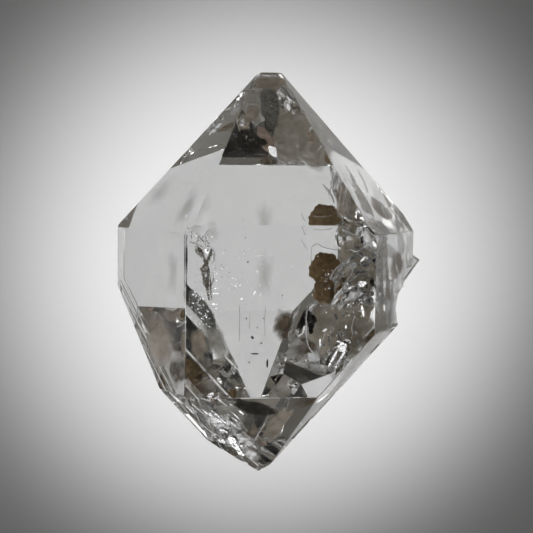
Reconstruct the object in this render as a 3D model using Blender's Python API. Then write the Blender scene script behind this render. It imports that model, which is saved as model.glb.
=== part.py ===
"""A clear doubly terminated quartz crystal, 30 mm long, lying on its rear prism face.

The body is a block cut by the faces of quartz: six prism faces, six upper and six lower
pyramid faces. Growth terraces, broken hollows and one small intergrown block follow.
Lengths are named in millimetres, with the origin of the faces on the crystal's long axis.
"""

import math
import random
from dataclasses import dataclass

import bmesh
import bpy
from mathutils import Matrix, Vector

MM = 0.001
BLANK_MM = 60.0
PYRAMID_RISE_DEG = 38.21
FILL_SIDES = 0

AZIMUTH_DEG = {
    "front": 0.0,
    "right": 60.0,
    "rear_right": 120.0,
    "rear": 180.0,
    "rear_left": 240.0,
    "left": 300.0,
}
PRISM_MM = {
    "front": 8.83,
    "right": 10.24,
    "rear_right": 9.50,
    "rear": 8.59,
    "rear_left": 9.68,
    "left": 10.09,
}
UPPER_MM = {
    "front": 9.12,
    "right": 9.81,
    "rear_right": 9.99,
    "rear": 9.30,
    "rear_left": 9.64,
    "left": 9.77,
}
LOWER_MM = {
    "front": 12.18,
    "right": 10.57,
    "rear_right": 7.35,
    "rear": 9.02,
    "rear_left": 8.50,
    "left": 13.07,
}

TERRACE_HEADROOM_MM = 1.5
TERRACE_LEAD_MM = 0.6
HOLLOW_SEED = 7
HOLLOW_SUBDIVISIONS = 3


@dataclass(frozen=True)
class Face:
    """One plane of the crystal."""

    normal: Vector
    distance_mm: float

    def at(self, x_mm: float, z_mm: float) -> Vector:
        """The point of a pyramid face that has this x and z."""
        reach = self.distance_mm - self.normal.x * x_mm - self.normal.z * z_mm
        return Vector((x_mm, reach / self.normal.y, z_mm))


@dataclass(frozen=True)
class Terrace:
    """A tread that dips into a pyramid face from a ridge line and ends at a riser."""

    name: str
    side: str
    start_xz_mm: tuple[float, float]
    end_xz_mm: tuple[float, float]
    width_mm: float
    drop_mm: float


@dataclass(frozen=True)
class Hollow:
    """A rough scoop broken out of an edge."""

    name: str
    centre_mm: tuple[float, float, float]
    radii_mm: tuple[float, float, float]
    roughness: float


@dataclass(frozen=True)
class Block:
    """A small square-cornered crystal grown into the side."""

    name: str
    corner_mm: tuple[float, float, float]
    size_mm: tuple[float, float, float]
    heading_deg: float
    tilt_deg: float


LOWER_TERRACES = (
    Terrace("rear_left_upper", "rear_left", (-8.3, -6.2), (-1.9, -6.2), 1.26, 0.11),
    Terrace("rear_left_middle", "rear_left", (-9.6, -2.7), (-0.4, -2.7), 1.75, 0.13),
    Terrace("rear_left_low", "rear_left", (-8.6, 1.6), (-0.2, 1.6), 1.10, 0.10),
    Terrace("left_long", "left", (-7.9, 6.3), (-4.6, 6.0), 0.60, 0.10),
    Terrace("left_short", "left", (-7.4, 7.2), (-5.7, 7.0), 0.40, 0.09),
    Terrace("front_outer", "front", (-6.30, 8.90), (-4.23, 5.26), -0.45, 0.10),
    Terrace("front_middle", "front", (-5.72, 8.90), (-3.53, 4.80), -0.55, 0.09),
    Terrace("front_inner", "front", (-5.03, 8.90), (-2.28, 4.02), -0.70, 0.08),
    Terrace("right_edge", "right", (8.9, 5.1), (1.4, 5.1), 1.00, 0.14),
    Terrace("rear_right_upper", "rear_right", (7.4, -5.6), (4.6, -5.6), -0.90, 0.16),
    Terrace("rear_right_low", "rear_right", (8.4, 1.3), (4.4, 1.3), -1.00, 0.14),
)
HOLLOWS = (
    Hollow("right_side", (10.55, -2.78, 3.2), (1.62, 1.60, 2.80), 0.06),
    Hollow("right_side_foot", (10.55, -3.95, 2.9), (1.05, 0.85, 2.20), 0.06),
    Hollow("right_side_head", (11.25, -1.10, 2.0), (1.30, 1.45, 2.30), 0.06),
    Hollow("tip_right", (0.70, -15.05, 4.3), (0.65, 0.70, 0.90), 0.08),
    Hollow("tip_left", (-2.30, -14.70, 4.2), (0.70, 0.60, 0.90), 0.08),
    Hollow("lower_left_edge", (-5.10, -12.60, 5.8), (0.62, 0.55, 0.90), 0.08),
    Hollow("left_corner", (-8.70, -8.55, 5.8), (0.55, 0.55, 0.90), 0.08),
    Hollow("right_lower_edge", (3.35, -11.60, 4.1), (0.65, 0.60, 0.90), 0.08),
    Hollow("rear_right_corner", (9.40, -0.15, -4.5), (1.35, 1.50, 1.40), 0.08),
    Hollow("rear_right_edge", (6.75, 2.30, -9.0), (1.10, 1.20, 1.00), 0.08),
    Hollow("rear_right_side", (8.31, 0.32, -6.5), (1.30, 1.20, 1.40), 0.08),
    Hollow("rear_right_side_small", (8.35, 2.07, -5.8), (0.90, 0.80, 0.90), 0.08),
    Hollow("rear_right_ledge", (5.10, -2.60, -8.9), (1.30, 1.00, 1.40), 0.08),
    Hollow("lower_face_inner", (4.92, -3.99, -6.6), (1.50, 1.40, 1.60), 0.08),
    Hollow("lower_face_outer", (7.03, -2.66, -4.4), (1.30, 1.20, 1.30), 0.08),
    Hollow("lower_face_middle", (6.69, -5.45, -1.9), (1.70, 1.60, 1.80), 0.08),
    Hollow("lower_face_rear", (3.39, -5.62, -6.3), (1.20, 1.10, 1.20), 0.08),
    Hollow("lower_face_low", (4.86, -6.32, -2.3), (1.00, 0.90, 1.00), 0.08),
    Hollow("shoulder", (-6.78, 3.15, 9.10), (0.42, 0.50, 0.42), 0.08),
)
SIDE_BLOCK = Block("side_block", (12.19, 0.49, -0.6), (2.7, 1.7, 2.0), 235.0, 9.0)


def pyramid_face(side: str, rise: float, distance_mm: float) -> Face:
    """The face over one side of the prism, with rise 1 upward, 0 upright and -1 downward."""
    azimuth = math.radians(AZIMUTH_DEG[side])
    tilt = math.radians(PYRAMID_RISE_DEG) * rise
    level = math.cos(tilt)
    normal = Vector((level * math.sin(azimuth), math.sin(tilt), level * math.cos(azimuth)))
    return Face(normal, distance_mm)


def crystal_faces() -> list[Face]:
    """All eighteen faces of the crystal."""
    faces = [pyramid_face(side, 0.0, reach) for side, reach in PRISM_MM.items()]
    faces += [pyramid_face(side, 1.0, reach) for side, reach in UPPER_MM.items()]
    faces += [pyramid_face(side, -1.0, reach) for side, reach in LOWER_MM.items()]
    return faces


def add_object(name: str, bm: bmesh.types.BMesh, home: bpy.types.Collection) -> bpy.types.Object:
    """Turns a bmesh into a named object of a collection."""
    mesh = bpy.data.meshes.new(name)
    bm.to_mesh(mesh)
    bm.free()
    made = bpy.data.objects.new(name, mesh)
    home.objects.link(made)
    return made


def cut_block(faces: list[Face]) -> bmesh.types.BMesh:
    """A cube cut back to the inside of every face."""
    bm = bmesh.new()
    bmesh.ops.create_cube(bm, size=BLANK_MM * MM)
    for face in faces:
        everything = bm.verts[:] + bm.edges[:] + bm.faces[:]
        cut = bmesh.ops.bisect_plane(
            bm,
            geom=everything,
            dist=1e-7,
            plane_co=face.normal * face.distance_mm * MM,
            plane_no=face.normal,
            clear_outer=True,
        )
        rim = [item for item in cut["geom_cut"] if isinstance(item, bmesh.types.BMEdge)]
        bmesh.ops.holes_fill(bm, edges=rim, sides=FILL_SIDES)
    bmesh.ops.recalc_face_normals(bm, faces=bm.faces[:])
    return bm


def box(size_mm: Vector, low_corner_mm: Vector, axes: Matrix, origin_mm: Vector) -> bmesh.types.BMesh:
    """A box of this size whose low corner sits at a place in turned axes."""
    bm = bmesh.new()
    bmesh.ops.create_cube(bm, size=1.0)
    middle = low_corner_mm + size_mm / 2.0
    bmesh.ops.scale(bm, vec=size_mm * MM, verts=bm.verts[:])
    bmesh.ops.translate(bm, vec=middle * MM, verts=bm.verts[:])
    placed = Matrix.Translation(origin_mm * MM) @ axes.to_4x4()
    bmesh.ops.transform(bm, matrix=placed, verts=bm.verts[:])
    return bm


def terrace_cutter(terrace: Terrace, home: bpy.types.Collection) -> bpy.types.Object:
    """A box whose underside dips into the face across the tread."""
    face = pyramid_face(terrace.side, -1.0, LOWER_MM[terrace.side])
    start = face.at(*terrace.start_xz_mm)
    run = face.at(*terrace.end_xz_mm) - start
    along = run.normalized()
    width = abs(terrace.width_mm)
    across = face.normal.cross(along) * math.copysign(1.0, terrace.width_mm)
    dip = math.atan2(terrace.drop_mm, width)
    tread = (across * math.cos(dip) - face.normal * math.sin(dip)).normalized()
    upward = (face.normal * math.cos(dip) + across * math.sin(dip)).normalized()
    sideways = along if along.cross(tread).dot(upward) > 0.0 else -along
    axes = Matrix((sideways, tread, upward)).transposed()
    length = run.length
    low_along = 0.0 if sideways.dot(along) > 0.0 else -length
    size = Vector((length, width + TERRACE_LEAD_MM, TERRACE_HEADROOM_MM))
    low = Vector((low_along, -TERRACE_LEAD_MM, 0.0))
    return add_object(terrace.name, box(size, low, axes, start), home)


def hollow_cutter(hollow: Hollow, home: bpy.types.Collection, rng: random.Random) -> bpy.types.Object:
    """A roughened ball stretched to the hollow's radii."""
    bm = bmesh.new()
    bmesh.ops.create_icosphere(bm, subdivisions=HOLLOW_SUBDIVISIONS, radius=MM)
    for vertex in bm.verts:
        vertex.co *= 1.0 + rng.uniform(-hollow.roughness, hollow.roughness)
    bmesh.ops.scale(bm, vec=Vector(hollow.radii_mm), verts=bm.verts[:])
    bmesh.ops.translate(bm, vec=Vector(hollow.centre_mm) * MM, verts=bm.verts[:])
    return add_object(hollow.name, bm, home)


def side_block(block: Block, home: bpy.types.Collection) -> bpy.types.Object:
    """The intergrown block, with its outer corner at the named point."""
    turn = Matrix.Rotation(math.radians(block.heading_deg), 3, "Z")
    lean = Matrix.Rotation(math.radians(block.tilt_deg), 3, "X")
    size = Vector(block.size_mm)
    low = Vector((0.0, -size.y, -size.z / 2.0))
    return add_object(block.name, box(size, low, turn @ lean, Vector(block.corner_mm)), home)


def boolean(body: bpy.types.Object, other: bpy.types.Object, operation: str) -> None:
    """Adds one exact Boolean to the body."""
    step = body.modifiers.new(other.name, "BOOLEAN")
    step.operation = operation
    step.solver = "EXACT"
    step.object = other


def centre_on_rear_face(body: bpy.types.Object, others: list[bpy.types.Object]) -> None:
    """Moves everything so that the box of the body is centred and its rear face is at z = 0."""
    graph = bpy.context.evaluated_depsgraph_get()
    corners = [Vector(corner) for corner in body.evaluated_get(graph).bound_box]
    low = Vector([min(corner[axis] for corner in corners) for axis in range(3)])
    high = Vector([max(corner[axis] for corner in corners) for axis in range(3)])
    shift = Vector((-(low.x + high.x) / 2.0, -(low.y + high.y) / 2.0, -low.z))
    for item in [body, *others]:
        item.data.transform(Matrix.Translation(shift))
    bpy.context.view_layer.update()


def quartz() -> bpy.types.Material:
    """Clear, smooth quartz."""
    material = bpy.data.materials.new("clear_quartz")
    material.use_nodes = True
    shader = material.node_tree.nodes["Principled BSDF"]
    shader.inputs["Base Color"].default_value = (0.93, 0.94, 0.95, 1.0)
    shader.inputs["Roughness"].default_value = 0.03
    shader.inputs["Metallic"].default_value = 0.0
    return material


def collection(name: str) -> bpy.types.Collection:
    """A new collection of the scene."""
    made = bpy.data.collections.new(name)
    bpy.context.scene.collection.children.link(made)
    return made


def main() -> None:
    """Builds the crystal."""
    for old in list(bpy.data.objects):
        bpy.data.objects.remove(old)
    home = collection("quartz_crystal")
    helpers = collection("cutters")
    rng = random.Random(HOLLOW_SEED)
    body = add_object("quartz_crystal", cut_block(crystal_faces()), home)
    body.data.materials.append(quartz())
    terraces = [terrace_cutter(terrace, helpers) for terrace in LOWER_TERRACES]
    hollows = [hollow_cutter(hollow, helpers, rng) for hollow in HOLLOWS]
    block = side_block(SIDE_BLOCK, helpers)
    for cutter in terraces + hollows:
        boolean(body, cutter, "DIFFERENCE")
    boolean(body, block, "UNION")
    for helper in [*terraces, *hollows, block]:
        helper.hide_render = True
        helper.display_type = "WIRE"
    bpy.context.view_layer.update()
    centre_on_rear_face(body, [*terraces, *hollows, block])


main()
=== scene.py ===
"""A clear doubly terminated quartz crystal, lying on its rear prism face on a pale lit floor.

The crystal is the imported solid, merged and given worn edges. Its cracks, clay, flakes and films
lie inside it. Lengths are in millimetres in the frame's own axes unless a name says otherwise.
"""

import logging
import math
import random
from dataclasses import dataclass
from enum import Enum

import bmesh
import bpy
from mathutils import Matrix, Vector, noise
from mathutils.bvhtree import BVHTree


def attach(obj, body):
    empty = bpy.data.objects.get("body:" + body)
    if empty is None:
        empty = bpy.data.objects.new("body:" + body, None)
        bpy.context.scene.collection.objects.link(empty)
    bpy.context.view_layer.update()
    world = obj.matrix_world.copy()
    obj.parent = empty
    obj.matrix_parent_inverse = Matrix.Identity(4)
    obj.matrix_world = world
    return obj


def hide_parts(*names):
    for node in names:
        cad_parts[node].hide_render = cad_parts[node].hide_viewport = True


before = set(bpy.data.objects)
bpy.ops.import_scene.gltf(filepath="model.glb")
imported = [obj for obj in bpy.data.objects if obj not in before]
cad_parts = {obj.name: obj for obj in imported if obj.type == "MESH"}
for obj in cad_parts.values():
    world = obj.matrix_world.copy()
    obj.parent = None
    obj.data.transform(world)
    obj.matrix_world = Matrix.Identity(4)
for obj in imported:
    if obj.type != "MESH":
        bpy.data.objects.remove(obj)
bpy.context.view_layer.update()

MM = 0.001
BODY = "root"
NODE = "quartz_crystal"
QUARTZ_IOR = 1.544
MERGE_MM = 0.0005
NOISE_SEED = 1
FADE = "fade"
MOTTLE_DETAIL = 5.0
MOTTLE_BAND = (0.35, 0.65)
STAIN_DETAIL = 6.0
STAIN_BAND = (0.38, 0.55)
STAIN_STRETCH = 1.3
LOG = logging.getLogger("quartz")

Pair = tuple[float, float]
Place = tuple[float, float, float]
Colour = tuple[float, float, float]
BMesh = bmesh.types.BMesh
Tree = bpy.types.NodeTree
Socket = bpy.types.NodeSocket
Thing = bpy.types.Object
Feed = Socket | float | tuple[float, ...] | Vector
Feeds = dict[str | int, Feed]


class Face(Enum):
    """Outward directions of the crystal's faces."""

    FRONT = (0.0, 0.0, 1.0)
    LEFT = (-0.866, 0.0, 0.5)
    RIGHT = (0.866, 0.0, 0.5)
    TOP = (0.0, 0.619, 0.786)
    TOP_LEFT = (-0.68, 0.619, 0.393)
    TOP_RIGHT = (0.68, 0.619, 0.393)
    LOW = (0.0, -0.619, 0.786)
    LOW_RIGHT = (0.68, -0.619, 0.393)


class Gleam(Enum):
    """Directions of small bright surfaces that mirror the key lamp through one face."""

    FRONT = (-0.23, -0.15, 0.96)
    LEFT = (-0.60, -0.13, 0.79)
    RIGHT = (-0.03, -0.14, 0.99)
    TOP = (-0.20, 0.18, 0.96)
    TOP_LEFT = (-0.60, 0.22, 0.77)
    LOW = (-0.20, -0.38, 0.91)
    LOW_LEFT = (-0.54, -0.39, 0.74)


Way = Place | Face | Gleam


def metres(point_mm: Place) -> Vector:
    """A place in metres from one in millimetres."""
    return Vector(point_mm) * MM


def drift_of(seed: float) -> Vector:
    """Where in the noise a shape with this seed lies."""
    return Vector((seed, -seed, 0.5 * seed))


def towards(polar_deg: float, azimuth_deg: float) -> Vector:
    """The unit direction at two angles.

    Args:
        polar_deg: The angle from +Z.
        azimuth_deg: The angle from +X toward +Y.

    Returns:
        The direction.
    """
    polar, azimuth = math.radians(polar_deg), math.radians(azimuth_deg)
    flat = math.sin(polar)
    return Vector((flat * math.cos(azimuth), flat * math.sin(azimuth), math.cos(polar)))


def look_at(place: Vector, target: Vector) -> Matrix:
    """The matrix of a lamp at a place that shines at a target, both in metres."""
    turn = (place - target).to_track_quat("Z", "Y")
    return Matrix.Translation(place) @ turn.to_matrix().to_4x4()


def placement(centre_mm: Place, facing: Way, turn_deg: float) -> Matrix:
    """The matrix that places a shape made in millimetres flat at the origin.

    Args:
        centre_mm: Where its middle goes.
        facing: The way that its +Z goes, by the shortest turn.
        turn_deg: How far it is turned about its own +Z first.

    Returns:
        The matrix into the crystal's frame in metres.
    """
    way = Vector(facing.value if isinstance(facing, Enum) else facing)
    lean = Vector((0.0, 0.0, 1.0)).rotation_difference(way).to_matrix().to_4x4()
    spin = Matrix.Rotation(math.radians(turn_deg), 4, "Z")
    return Matrix.Translation(metres(centre_mm)) @ Matrix.Scale(MM, 4) @ lean @ spin


def put(name: str, data: bpy.types.ID, matrix: Matrix = Matrix.Identity(4)) -> Thing:
    """Adds an object to the scene.

    Args:
        name: Its name.
        data: Its mesh, lamp or camera.
        matrix: Where it stands.

    Returns:
        The object.
    """
    made = bpy.data.objects.new(name, data)
    made.matrix_world = matrix
    bpy.context.scene.collection.objects.link(made)
    return made


def add_node(tree: Tree, kind: str, feeds: Feeds | None = None, **modes: str) -> bpy.types.Node:
    """Adds a shader node.

    Args:
        tree: The node tree to add to.
        kind: The node's type, without the word that all of them start with.
        feeds: What its inputs get: a value, or the socket that carries it.
        modes: Its settings.

    Returns:
        The node.
    """
    made = tree.nodes.new(f"ShaderNode{kind}")
    for mode, choice in modes.items():
        setattr(made, mode, choice)
    for name, feed in (feeds or {}).items():
        if isinstance(feed, Socket):
            tree.links.new(feed, made.inputs[name])
        else:
            made.inputs[name].default_value = feed
    return made


def patches(tree: Tree, pitch_mm: float, detail: float, band: Pair, reach: Pair = (0.0, 1.0)) -> Socket:
    """Adds a value that drifts over the object with a noise.

    Args:
        tree: The node tree to add to.
        pitch_mm: The size of the drift.
        detail: The number of finer layers of the noise.
        band: The noise where the value is least and where it is most.
        reach: The least and the most.

    Returns:
        The socket that carries the value.
    """
    place = add_node(tree, "TexCoord").outputs["Object"]
    scale = 1.0 / (pitch_mm * MM)
    grain = add_node(tree, "TexNoise", {"Vector": place, "Scale": scale, "Detail": detail})
    ends = {"From Min": band[0], "From Max": band[1], "To Min": reach[0], "To Max": reach[1]}
    return add_node(tree, "MapRange", {"Value": grain.outputs["Fac"], **ends}).outputs["Result"]


def mottle(tree: Tree, light: Colour, dark: Colour, pitch_mm: float) -> Socket:
    """Adds a colour that drifts between two others over the object.

    Args:
        tree: The node tree to add to.
        light: One colour.
        dark: The other colour.
        pitch_mm: The size of the drift.

    Returns:
        The socket that carries the colour.
    """
    drift = patches(tree, pitch_mm, MOTTLE_DETAIL, MOTTLE_BAND)
    ends = {"Factor": drift, "A": (*light, 1.0), "B": (*dark, 1.0)}
    return add_node(tree, "Mix", ends, data_type="RGBA").outputs["Result"]


def matt_clear(tree: Tree, colour: Feed, through: float) -> Socket:
    """Adds matt matter that lets part of the light through.

    Args:
        tree: The node tree to add to.
        colour: Its colour.
        through: The share of the light that goes through it.

    Returns:
        The socket of its shader.
    """
    solid = add_node(tree, "BsdfDiffuse", {"Color": colour}).outputs["BSDF"]
    clear = add_node(tree, "BsdfTranslucent", {"Color": colour}).outputs["BSDF"]
    return add_node(tree, "MixShader", {"Fac": through, 1: solid, 2: clear}).outputs["Shader"]


class Finish:
    """What a piece is made of."""

    name: str

    def shader(self, tree: Tree) -> Socket:
        """Adds the finish's shader and gives its socket."""
        raise NotImplementedError

    def material(self) -> bpy.types.Material:
        """Builds the material from the shader."""
        made = bpy.data.materials.new(self.name)
        made.use_nodes = True
        made.node_tree.nodes.clear()
        add_node(made.node_tree, "OutputMaterial", {"Surface": self.shader(made.node_tree)})
        return made


@dataclass(frozen=True)
class Etch:
    """A natural face with a fine growth grain: its plane, and how strongly it blurs."""

    face: Face
    offset_mm: float
    blur: float


@dataclass(frozen=True)
class ClearQuartz(Finish):
    """Clear quartz with glassy faces, some of them finely grained along the crystal; its grey tint is painted
    shade.
    """

    name: str = "clear_quartz"
    # Painted shade: the grey tint darkens all that is seen through the quartz, in place of the shade on the
    # floor under the crystal.
    shade_tint: Colour = (0.600, 0.602, 0.598)
    etches: tuple[Etch, ...] = (Etch(Face.RIGHT, 14.145, 0.16), Etch(Face.TOP_RIGHT, 12.944, 0.10))
    face_mm: float = 0.03
    grain_mm: Place = (0.5, 4.0, 0.5)
    grain_detail: float = 4.0
    grain_depth_mm: float = 0.03

    def shader(self, tree: Tree) -> Socket:
        """Adds the transmissive shader.

        Args:
            tree: The node tree to add to.

        Returns:
            The socket of the shader.
        """
        place = add_node(tree, "TexCoord").outputs["Object"]
        scale = tuple(1.0 / (side * MM) for side in self.grain_mm)
        along = add_node(tree, "Mapping", {"Vector": place, "Scale": scale}).outputs["Vector"]
        noise_feeds = {"Vector": along, "Scale": 1.0, "Detail": self.grain_detail}
        grain = add_node(tree, "TexNoise", noise_feeds).outputs["Fac"]
        blur = self.blur(tree, place)
        rough = add_node(tree, "Math", {0: blur, 1: grain}, operation="MULTIPLY")
        depth = self.grain_depth_mm * MM
        relief = add_node(tree, "Bump", {"Strength": blur, "Distance": depth, "Height": grain})
        feeds = {
            "Base Color": (*self.shade_tint, 1.0),
            "IOR": QUARTZ_IOR,
            "Transmission Weight": 1.0,
            "Roughness": rough.outputs["Value"],
            "Normal": relief.outputs["Normal"],
        }
        return add_node(tree, "BsdfPrincipled", feeds).outputs["BSDF"]

    def blur(self, tree: Tree, place: Socket) -> Socket:
        """Adds a value that is a grained face's blur on its plane and zero elsewhere.

        Args:
            tree: The node tree to add to.
            place: The socket of the object's coordinates.

        Returns:
            The socket that carries the value.
        """
        parts = []
        for etch in self.etches:
            height = add_node(tree, "VectorMath", {0: place, 1: etch.face.value}, operation="DOT_PRODUCT")
            feeds = {
                "Value": height.outputs["Value"],
                "From Min": (etch.offset_mm - 3.0 * self.face_mm) * MM,
                "From Max": (etch.offset_mm - self.face_mm) * MM,
                "To Max": 2.0 * etch.blur,
            }
            parts.append(add_node(tree, "MapRange", feeds).outputs["Result"])
        total = parts[0]
        for part in parts[1:]:
            total = add_node(tree, "Math", {0: total, 1: part}).outputs["Value"]
        return total


@dataclass(frozen=True)
class OpalSheet(Finish):
    """Pale sheet that glows softly where light passes up through it."""

    name: str = "opal_sheet"
    colour: Colour = (0.80, 0.80, 0.80)
    through: float = 0.94

    def shader(self, tree: Tree) -> Socket:
        """Adds the part diffuse, part translucent shader."""
        return matt_clear(tree, (*self.colour, 1.0), self.through)


@dataclass(frozen=True)
class Mottled(Finish):
    """Mineral matter, mottled between two colours."""

    name: str
    light: Colour
    dark: Colour
    pitch_mm: float = 0.5
    roughness: float = 0.9
    metallic: float = 0.0

    def shader(self, tree: Tree) -> Socket:
        """Adds the mottled shader.

        Args:
            tree: The node tree to add to.

        Returns:
            The socket of the shader.
        """
        colour = mottle(tree, self.light, self.dark, self.pitch_mm)
        feeds = {"Base Color": colour, "Roughness": self.roughness, "Metallic": self.metallic}
        return add_node(tree, "BsdfPrincipled", feeds).outputs["BSDF"]


@dataclass(frozen=True)
class SilverGap(Mottled):
    """The mirror that a very thin gap in quartz makes."""

    name: str = "silver_gap"
    light: Colour = (0.96, 0.96, 0.97)
    dark: Colour = (0.86, 0.86, 0.88)
    pitch_mm: float = 0.3
    roughness: float = 0.25
    metallic: float = 1.0


@dataclass(frozen=True)
class StainAndShade(Finish):
    """A thin mottled film that fades toward its edge: a stain, and in the dark and grey films painted shade.
    """

    name: str
    light: Colour
    dark: Colour
    cover: float
    bare: float = 0.0
    pitch_mm: float = 0.8
    soft: float = 0.5
    through: float = 0.5

    def shader(self, tree: Tree) -> Socket:
        """Adds the part see-through shader.

        Args:
            tree: The node tree to add to.

        Returns:
            The socket of the shader.
        """
        colour = mottle(tree, self.light, self.dark, self.pitch_mm)
        gap = add_node(tree, "BsdfTransparent").outputs["BSDF"]
        feeds = {"Fac": self.amount(tree), 1: gap, 2: self.body(tree, colour)}
        return add_node(tree, "MixShader", feeds).outputs["Shader"]

    def body(self, tree: Tree, colour: Socket) -> Socket:
        """Adds what the film is made of where it is covered: matt matter that lets light through."""
        return matt_clear(tree, colour, self.through)

    def amount(self, tree: Tree) -> Socket:
        """Adds how much of the film is covered at each place, from its fade and a noise.

        Args:
            tree: The node tree to add to.

        Returns:
            The socket that carries the share.
        """
        reach = (self.cover * (1.0 - self.bare), self.cover)
        patchy = patches(tree, STAIN_STRETCH * self.pitch_mm, STAIN_DETAIL, STAIN_BAND, reach)
        fade = add_node(tree, "Attribute", attribute_name=FADE).outputs["Fac"]
        feeds = {"Value": fade, "From Max": self.soft}
        edge = add_node(tree, "MapRange", feeds, interpolation_type="SMOOTHSTEP").outputs["Result"]
        return add_node(tree, "Math", {0: patchy, 1: edge}, operation="MULTIPLY").outputs["Value"]


@dataclass(frozen=True)
class Frost(StainAndShade):
    """A film of fine facets that mirrors the lamps softly."""

    roughness: float = 0.35

    def body(self, tree: Tree, colour: Socket) -> Socket:
        """Adds the soft mirror."""
        feeds = {"Base Color": colour, "Roughness": self.roughness, "Metallic": 1.0}
        return add_node(tree, "BsdfPrincipled", feeds).outputs["BSDF"]


@dataclass
class Camera:
    """The photograph's camera, given by how the crystal is turned in front of it."""

    yaw_deg: float = 6.43
    pitch_deg: float = 4.60
    roll_deg: float = -0.63
    distance_mm: float = 80.25
    aim_mm: Place = (-0.450, 0.105, 8.59)
    sensor_mm: float = 36.0
    lens_mm: float = 69.97
    near_mm: float = 1.0

    def build(self) -> None:
        """Adds the camera and makes it the scene's."""
        turned = (
            Matrix.Rotation(math.radians(self.roll_deg), 3, "Z")
            @ Matrix.Rotation(math.radians(self.pitch_deg), 3, "X")
            @ Matrix.Rotation(math.radians(self.yaw_deg), 3, "Y")
        )
        axes = turned.transposed()
        place = metres(self.aim_mm) + axes @ Vector((0.0, 0.0, self.distance_mm * MM))
        data = bpy.data.cameras.new("camera")
        data.sensor_width = self.sensor_mm
        data.lens = self.lens_mm
        data.clip_start = self.near_mm * MM
        bpy.context.scene.camera = put("camera", data, Matrix.Translation(place) @ axes.to_4x4())


@dataclass(frozen=True)
class Panel:
    """One soft square lamp that faces the crystal and stays out of view itself."""

    name: str
    polar_deg: float
    azimuth_deg: float
    distance_mm: float
    side_mm: float
    glow: float
    lights_matt: bool = False
    aim_mm: Place = (0.0, 0.0, 8.0)

    def build(self) -> None:
        """Adds the lamp, with the power that gives its glow."""
        data = bpy.data.lights.new(self.name, "AREA")
        data.size = self.side_mm * MM
        data.energy = self.glow * math.pi * data.size**2
        aim = metres(self.aim_mm)
        place = aim + towards(self.polar_deg, self.azimuth_deg) * self.distance_mm * MM
        made = put(self.name, data, look_at(place, aim))
        made.visible_camera = False
        made.visible_diffuse = self.lights_matt


@dataclass(frozen=True)
class Tone:
    """A part of the room round one direction with its own soft-edged tone."""

    polar_deg: float
    azimuth_deg: float
    within_deg: float
    until_deg: float
    colour: Colour


@dataclass
class Studio:
    """A pale floor with a pool of light under it, dim surroundings and soft lamps."""

    floor_half_mm: float = 600.0
    floor_gap_mm: float = 0.2
    pool_centre_mm: Pair = (0.5, -0.6)
    pool_depth_mm: float = 90.0
    pool_radius_mm: float = 30.8
    pool_lamp_radius_mm: float = 6.0
    pool_watts: float = 0.352
    room: Colour = (0.205, 0.193, 0.168)
    tones: tuple[Tone, ...] = (
        Tone(22.0, 35.0, 17.0, 42.0, (0.020, 0.020, 0.020)),
        Tone(180.0, 0.0, 89.0, 91.0, (0.10, 0.10, 0.10)),
    )
    panels: tuple[Panel, ...] = (
        Panel("top_panel", 64.0, 91.0, 120.0, 17.0, 2.5),
        Panel("left_panel", 68.0, 178.0, 120.0, 50.0, 2.0),
        Panel("right_panel", 66.0, 5.0, 120.0, 50.0, 2.0),
        Panel("key_panel", 52.0, 225.0, 220.0, 170.0, 4.5, lights_matt=True),
    )
    light_bounces: int = 32

    def floor(self) -> None:
        """Adds the floor, just under the crystal."""
        bm = bmesh.new()
        bmesh.ops.create_grid(bm, x_segments=1, y_segments=1, size=self.floor_half_mm * MM)
        bmesh.ops.translate(bm, vec=(0.0, 0.0, -self.floor_gap_mm * MM), verts=bm.verts[:])
        mesh = bpy.data.meshes.new("floor")
        bm.to_mesh(mesh)
        bm.free()
        mesh.materials.append(OpalSheet().material())
        put("floor", mesh)

    def pool(self) -> None:
        """Adds the lamp under the floor whose soft edge darkens the floor away from the crystal."""
        data = bpy.data.lights.new("pool", "SPOT")
        data.energy = self.pool_watts
        data.spot_size = 2.0 * math.atan(self.pool_radius_mm / self.pool_depth_mm)
        data.spot_blend = 1.0
        data.shadow_soft_size = self.pool_lamp_radius_mm * MM
        place = metres((*self.pool_centre_mm, -self.pool_depth_mm))
        put("pool", data, look_at(place, metres((*self.pool_centre_mm, 0.0))))

    def layer(self, tree: Tree, base: Feed, tone: Tone) -> Socket:
        """Lays one tone over the room so far.

        Args:
            tree: The world's node tree.
            base: The room so far.
            tone: The tone to lay over it.

        Returns:
            The socket of the room with the tone.
        """
        way = add_node(tree, "TexCoord").outputs["Generated"]
        middle = towards(tone.polar_deg, tone.azimuth_deg)
        nearness = add_node(tree, "VectorMath", {0: way, 1: middle}, operation="DOT_PRODUCT")
        feeds = {
            "Value": nearness.outputs["Value"],
            "From Min": math.cos(math.radians(tone.until_deg)),
            "From Max": math.cos(math.radians(tone.within_deg)),
        }
        shade = add_node(tree, "MapRange", feeds, interpolation_type="SMOOTHSTEP").outputs["Result"]
        feeds = {"Factor": shade, "A": base, "B": (*tone.colour, 1.0)}
        return add_node(tree, "Mix", feeds, data_type="RGBA").outputs["Result"]

    def world(self) -> None:
        """Sets the room, a warm grey with its tones, and gives the glass its light paths."""
        room = bpy.data.worlds.new("room")
        room.use_nodes = True
        colour = (*self.room, 1.0)
        for tone in self.tones:
            colour = self.layer(room.node_tree, colour, tone)
        room.node_tree.links.new(colour, room.node_tree.nodes["Background"].inputs["Color"])
        scene = bpy.context.scene
        scene.world = room
        scene.view_settings.view_transform = "Standard"
        scene.cycles.max_bounces = self.light_bounces
        scene.cycles.transmission_bounces = self.light_bounces
        scene.cycles.glossy_bounces = self.light_bounces
        scene.cycles.transparent_max_bounces = self.light_bounces

    def build(self) -> None:
        """Sets the whole studio."""
        self.floor()
        self.pool()
        for panel in self.panels:
            panel.build()
        self.world()


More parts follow.
